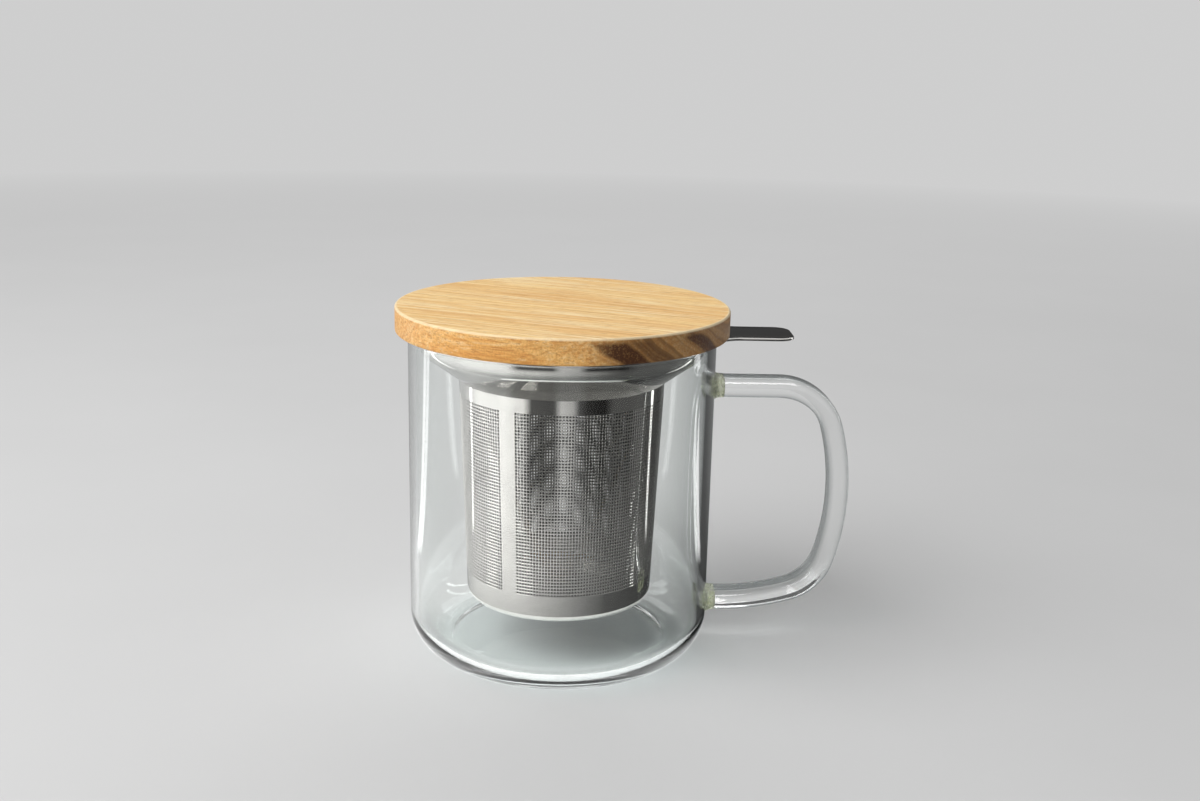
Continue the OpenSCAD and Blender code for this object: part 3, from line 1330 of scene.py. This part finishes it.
def add_camera(scene):
    """The photograph's viewpoint, from a fit to the outlines of lid, glass and steel.

    Angles are in radians, and the focal length and the width in the photograph's
    own pixels.
    """
    yaw, pitch, roll = 0.02857, 0.2536, 0.02347
    focal, width = 1385.35, 1200
    ahead = Vector(
        (
            math.sin(yaw) * math.cos(pitch),
            math.cos(yaw) * math.cos(pitch),
            -math.sin(pitch),
        )
    )
    level = Vector((math.cos(yaw), -math.sin(yaw), 0))
    rise = level.cross(ahead)
    right = level * math.cos(roll) + rise * math.sin(roll)
    up = rise * math.cos(roll) - level * math.sin(roll)
    stand = Matrix((right, up, -ahead)).transposed().to_4x4()
    stand.translation = (0, -0.380, 0.17132)
    camera = bpy.data.cameras.new("camera")
    camera.sensor_width = 36.0
    camera.lens = 36.0 * focal / width
    camera.clip_start, camera.clip_end = 0.01, 20
    holder = bpy.data.objects.new("camera", camera)
    holder.matrix_world = stand
    scene.collection.objects.link(holder)
    scene.camera = holder


class TEAMUG_OT_stage(bpy.types.Operator):
    """Lay the pale table and set the lamps, the backdrop and the camera"""

    bl_idname = "teamug.stage"
    bl_label = "Table, lamps and camera"

    def execute(self, context):
        scene = context.scene
        bm = bmesh.new()
        bmesh.ops.create_circle(bm, cap_ends=True, segments=96, radius=4.0)
        mesh = bpy.data.meshes.new("table")
        bm.to_mesh(mesh)
        bm.free()
        far = colour(PALE_ROOM, PALE_ROOM, PALE_ROOM)
        mesh.materials.append(table_finish("pale table", colour(0.64, 0.64, 0.64), far))
        table = bpy.data.objects.new("table", mesh)
        scene.collection.objects.link(table)

        world = bpy.data.worlds.new("pale room")
        scene.world = world
        world.use_nodes = True
        tree = world.node_tree
        tree.nodes.clear()
        out = node(tree, "ShaderNodeOutputWorld")
        way = node(tree, "ShaderNodeTexCoord").outputs["Generated"]

        def facing(x, y, z):
            """How near a ray's direction is to this one, from -1 to 1."""
            return node(
                tree,
                "ShaderNodeVectorMath",
                {0: way, 1: Vector((x, y, z)).normalized()},
                operation="DOT_PRODUCT",
            ).outputs["Value"]

        # the steel mirrors a bright room with a darker wall behind the tab
        mirrored = times(
            tree,
            spread(tree, facing(-0.7, -0.5, 0.5), -0.6, 0.7, 0.42, 0.85),
            spread(tree, facing(0.05, 1.0, 0.27), 0.86, 0.95, 1.0, 0.12),
        )
        path = node(tree, "ShaderNodeLightPath").outputs
        direct = sums(
            tree, "MAXIMUM", path["Is Camera Ray"], path["Is Transmission Ray"]
        )
        once, again, deep = mirror_depth(tree)
        # the glass bends in some of the darker ceiling
        seen = spread(tree, facing(0, 0, 1), 0.28, 0.85, PALE_ROOM, 0.28)
        level = pick(tree, direct, 0.38, seen)
        level = pick(tree, once, level, mirrored)
        level = pick(tree, again, level, 0.6)
        level = pick(tree, deep, level, 0.25)
        glow = node(
            tree, "ShaderNodeBackground", {"Color": colour(1, 1, 1), "Strength": level}
        )
        tree.links.new(glow.outputs[0], out.inputs["Surface"])

        centre = (0.01, 0, 0.06)
        add_lamp("window lamp", (-0.75, -0.45, 0.90), centre, (1.0, 1.0), 13.6)
        add_lamp("back lamp", (0.10, 1.0, 0.9), centre, (1.1, 0.5), 3.5)
        bar = ("glass_handle", "fused_joint_upper", "fused_joint_lower")
        add_lamp("bar lamp", (0.28, -0.55, 0.90), centre, (0.5, 0.3), 5.0, True, bar)
        add_lamp("strip lamp", (-0.55, 0.15, 0.30), centre, (0.10, 0.6), 0.9, True)
        add_lamp("right strip lamp", (0.60, 0.25, 0.35), centre, (0.05, 0.6), 0.7, True)

        add_camera(scene)
        scene.view_settings.view_transform = "Standard"
        # light runs a long way inside the thick glass floor and the bar
        scene.cycles.max_bounces = 24
        scene.cycles.glossy_bounces = 12
        scene.cycles.transmission_bounces = 20
        return {"FINISHED"}


OPERATORS = (
    TEAMUG_OT_glass_body,
    TEAMUG_OT_glass_handle,
    TEAMUG_OT_fused_joints,
    TEAMUG_OT_strainer_rim,
    TEAMUG_OT_strainer_wall,
    TEAMUG_OT_strainer_base,
    TEAMUG_OT_lid_board,
    TEAMUG_OT_lid_seal,
    TEAMUG_OT_stage,
)


class TEAMUG_PT_panel(bpy.types.Panel):
    """Lists the pieces and their sizes in the sidebar"""

    bl_idname = "TEAMUG_PT_panel"
    bl_label = "Tea mug"
    bl_space_type = "VIEW_3D"
    bl_region_type = "UI"
    bl_category = "Tea mug"

    def draw(self, context):
        for group in (context.scene.tea_mug_sizes, context.scene.tea_mug_finishes):
            for key in group.__annotations__:
                self.layout.prop(group, key)
        for operator in OPERATORS:
            self.layout.operator(operator.bl_idname)


CLASSES = (TeaMugSizes, TeaMugFinishes, *OPERATORS, TEAMUG_PT_panel)


def register():
    for cls in CLASSES:
        bpy.utils.register_class(cls)
    bpy.types.Scene.tea_mug_sizes = bpy.props.PointerProperty(type=TeaMugSizes)
    bpy.types.Scene.tea_mug_finishes = bpy.props.PointerProperty(type=TeaMugFinishes)


def unregister():
    del bpy.types.Scene.tea_mug_finishes
    del bpy.types.Scene.tea_mug_sizes
    for cls in reversed(CLASSES):
        bpy.utils.unregister_class(cls)


def main():
    register()
    bpy.ops.teamug.glass_body()
    bpy.ops.teamug.glass_handle()
    bpy.ops.teamug.fused_joints()
    bpy.ops.teamug.strainer_rim()
    bpy.ops.teamug.strainer_wall()
    bpy.ops.teamug.strainer_base()
    bpy.ops.teamug.lid_board()
    bpy.ops.teamug.lid_seal()
    bpy.ops.teamug.stage()


if __name__ == "__main__":
    main()
